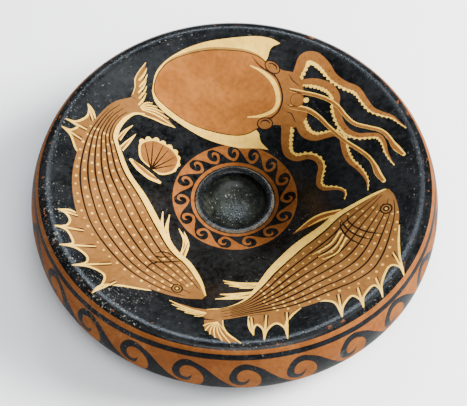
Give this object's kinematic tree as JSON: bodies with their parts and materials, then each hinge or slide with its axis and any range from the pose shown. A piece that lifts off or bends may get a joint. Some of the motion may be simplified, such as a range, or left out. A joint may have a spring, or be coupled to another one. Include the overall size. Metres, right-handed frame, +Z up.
{
  "type": "fish plate",
  "caption": "Round clay serving plate with a sloping floor, small central well, deep overhanging rim and low hollow foot, painted with fish, a cuttlefish and a shell.",
  "frame": {"origin": "on the ground, under the centre of the foot", "axes": "+Z up along the axis the plate was turned on; -Y towards the viewer of the picture"},
  "size_m": [0.24, 0.24, 0.054],
  "materials": {
    "glazed_clay": "black slip glaze, worn, over orange clay, with ochre and cream painted figures"
  },
  "bodies": {
    "root": {"fish_plate": "glazed_clay"}
  },
  "joints": []
}
